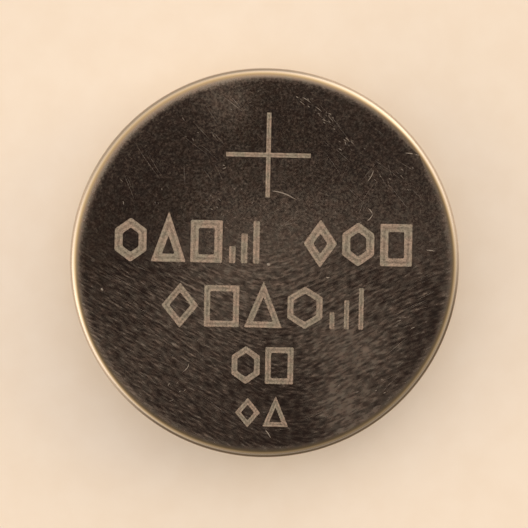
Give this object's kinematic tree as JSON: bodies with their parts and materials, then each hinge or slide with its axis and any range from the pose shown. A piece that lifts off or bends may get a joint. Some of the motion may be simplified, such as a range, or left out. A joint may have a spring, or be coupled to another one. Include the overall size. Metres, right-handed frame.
{
  "type": "lithium coin cell",
  "caption": "Flat round lithium cell: a crimped steel can with a plain positive face, a sealing gasket and a raised negative terminal underneath.",
  "frame": {"origin": "centre of the negative terminal face, which is the lowest face", "axes": "+Z along the axis of the cell, from the negative terminal up through the positive face"},
  "size_m": [0.0244, 0.0244, 0.005],
  "materials": {
    "can_steel": "nickel-plated stainless steel, polished and finely scuffed",
    "cap_steel": "nickel-plated stainless steel, satin",
    "gasket_plastic": "moulded polypropylene, translucent white",
    "lithium": "punched lithium foil, dull silver",
    "separator_felt": "nonwoven polypropylene",
    "pressed_oxide": "pressed manganese dioxide and graphite, matt black",
    "collector_steel": "expanded stainless steel"
  },
  "bodies": {
    "root": {"positive_can": "can_steel", "gasket": "gasket_plastic", "negative_cap": "cap_steel", "lithium_anode": "lithium", "separator": "separator_felt", "cathode_pellet": "pressed_oxide", "current_collector": "collector_steel"}
  },
  "joints": []
}
